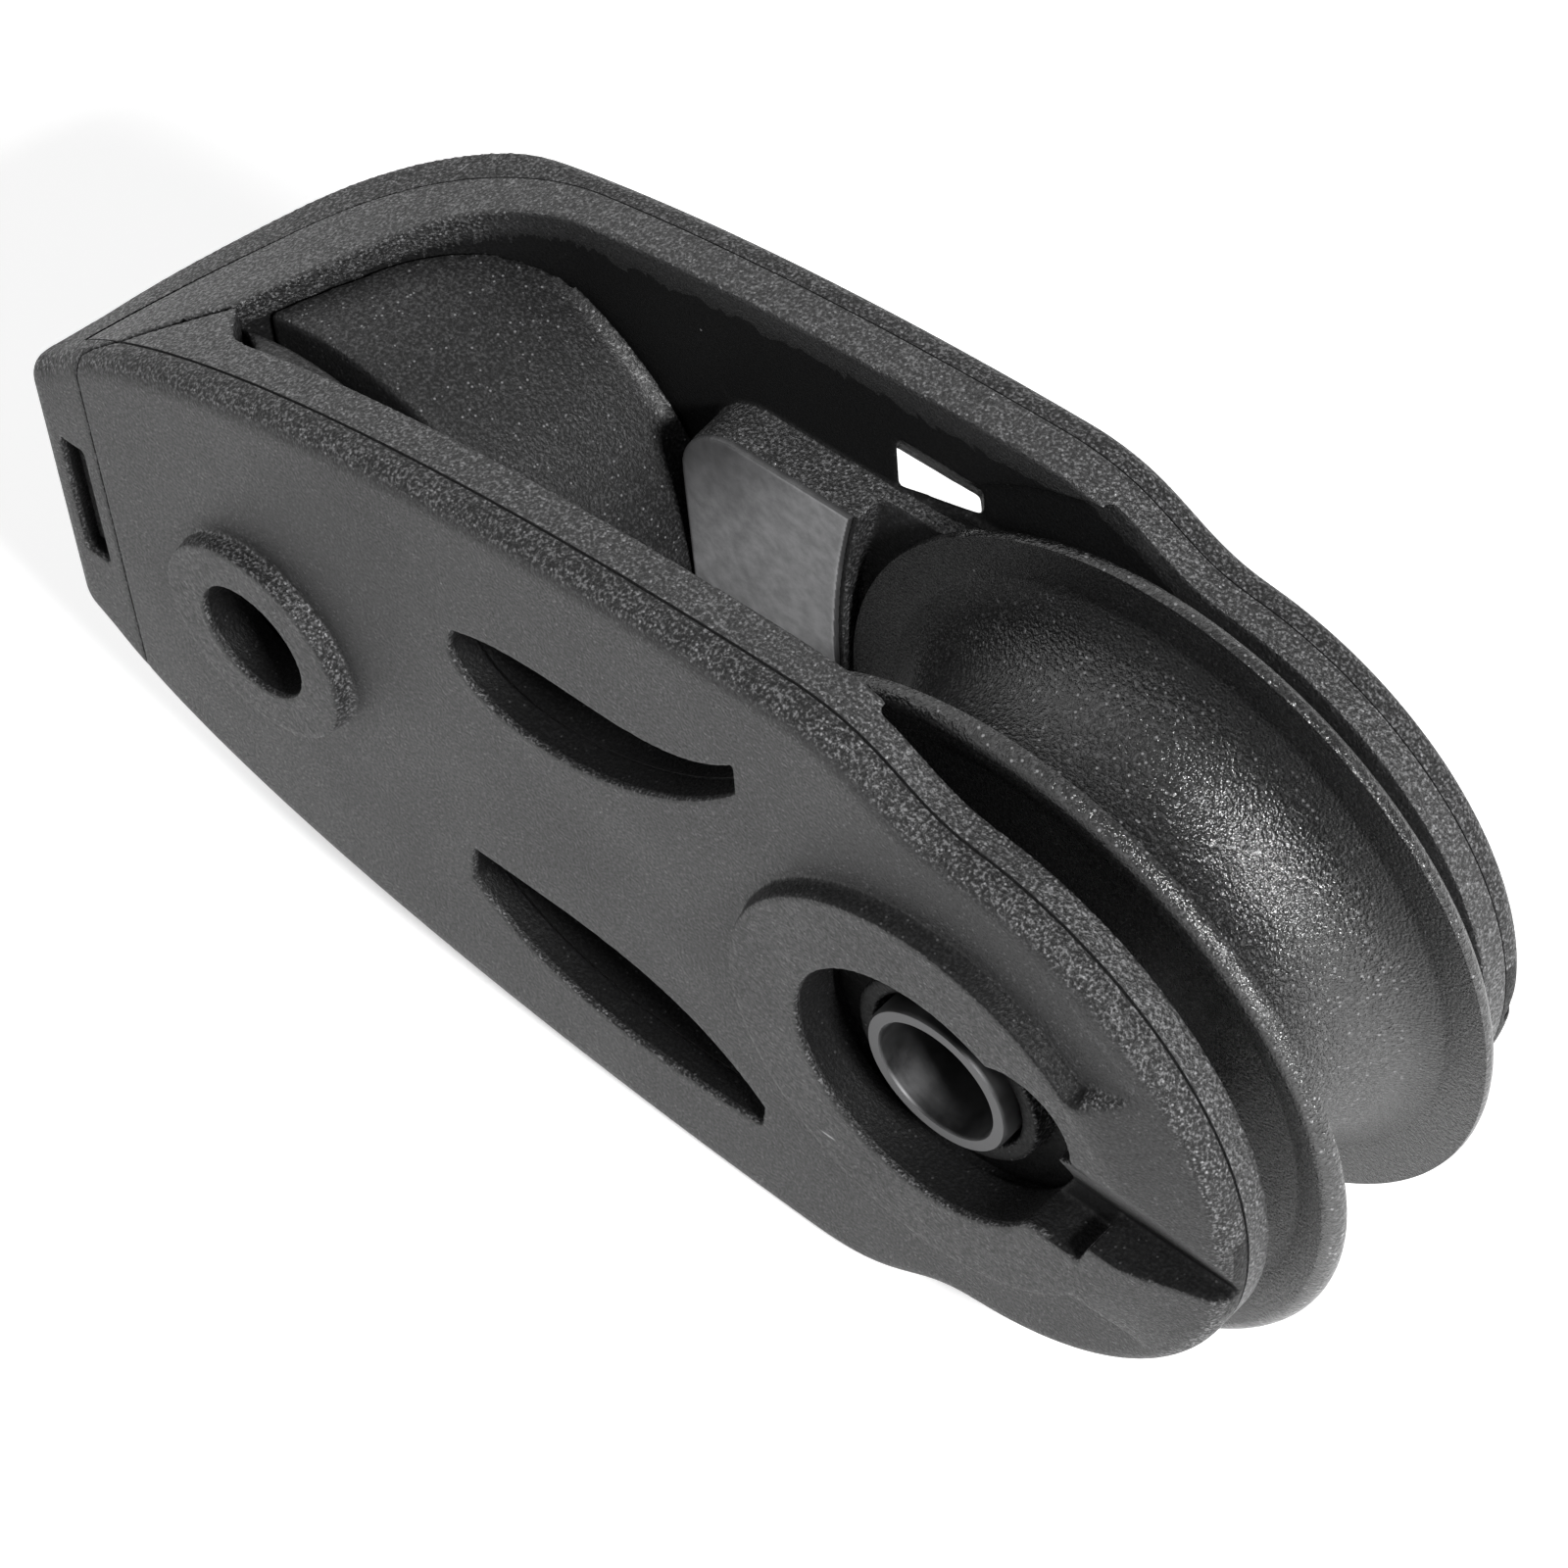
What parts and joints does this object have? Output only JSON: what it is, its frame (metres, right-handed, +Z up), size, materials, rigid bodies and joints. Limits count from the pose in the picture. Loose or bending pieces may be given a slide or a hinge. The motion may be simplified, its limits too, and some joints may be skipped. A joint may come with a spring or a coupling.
{
  "type": "single sheave block",
  "caption": "Compact cheek block: a grooved sheave on a hollow axle between two layered cheeks, with a round drum and a bolt hole at the tail.",
  "frame": {"origin": "middle of the bounding box in plan, at the lowest edge of the cheeks", "axes": "+X from the tail to the nose, +Y along the axle from the near cheek to the far one, +Z up through the rope opening"},
  "size_m": [0.0925, 0.0286, 0.048],
  "materials": {
    "black_nylon": "fine-grained glass-filled nylon, matt black",
    "sheave_plastic": "black glass-filled nylon with a light grainy sheen",
    "guide_plastic": "smooth dark plastic, satin",
    "stainless_steel": "plain turned stainless steel",
    "acetal": "natural acetal, satin"
  },
  "bodies": {
    "block_body": {"near_cheek_cover": "black_nylon", "near_cheek_frame": "black_nylon", "far_cheek_cover": "black_nylon", "far_cheek_frame": "black_nylon", "near_guide_pad": "guide_plastic", "far_guide_pad": "guide_plastic", "near_tail_drum": "black_nylon", "far_tail_drum": "black_nylon", "tail_bolt_sleeve": "stainless_steel", "bearing_inner_sleeve": "stainless_steel", "hollow_axle": "stainless_steel", "near_hub_collar": "black_nylon", "far_hub_collar": "black_nylon", "near_thrust_washer": "acetal", "far_thrust_washer": "acetal", "tail_latch_tongue": "black_nylon"},
    "sheave_wheel": {"sheave": "sheave_plastic", "bearing_outer_ring": "stainless_steel"},
    "roller_set": {"roller_cage": "acetal", "bearing_roller_01": "stainless_steel", "bearing_roller_02": "stainless_steel", "bearing_roller_03": "stainless_steel", "bearing_roller_04": "stainless_steel", "bearing_roller_05": "stainless_steel", "bearing_roller_06": "stainless_steel", "bearing_roller_07": "stainless_steel", "bearing_roller_08": "stainless_steel", "bearing_roller_09": "stainless_steel", "bearing_roller_10": "stainless_steel", "bearing_roller_11": "stainless_steel", "bearing_roller_12": "stainless_steel"}
  },
  "joints": [
    {"name": "sheave_spin", "type": "hinge", "parent": "block_body", "child": "sheave_wheel", "pos_m": [0.02375, 0, 0.024], "axis": [0, 1, 0], "continuous": true},
    {"name": "roller_orbit", "type": "hinge", "parent": "block_body", "child": "roller_set", "pos_m": [0.02375, 0, 0.024], "axis": [0, 1, 0], "continuous": true}
  ],
  "couplings": [
    {"joint": "roller_orbit", "follows": "sheave_spin", "ratio": 0.5993}
  ]
}
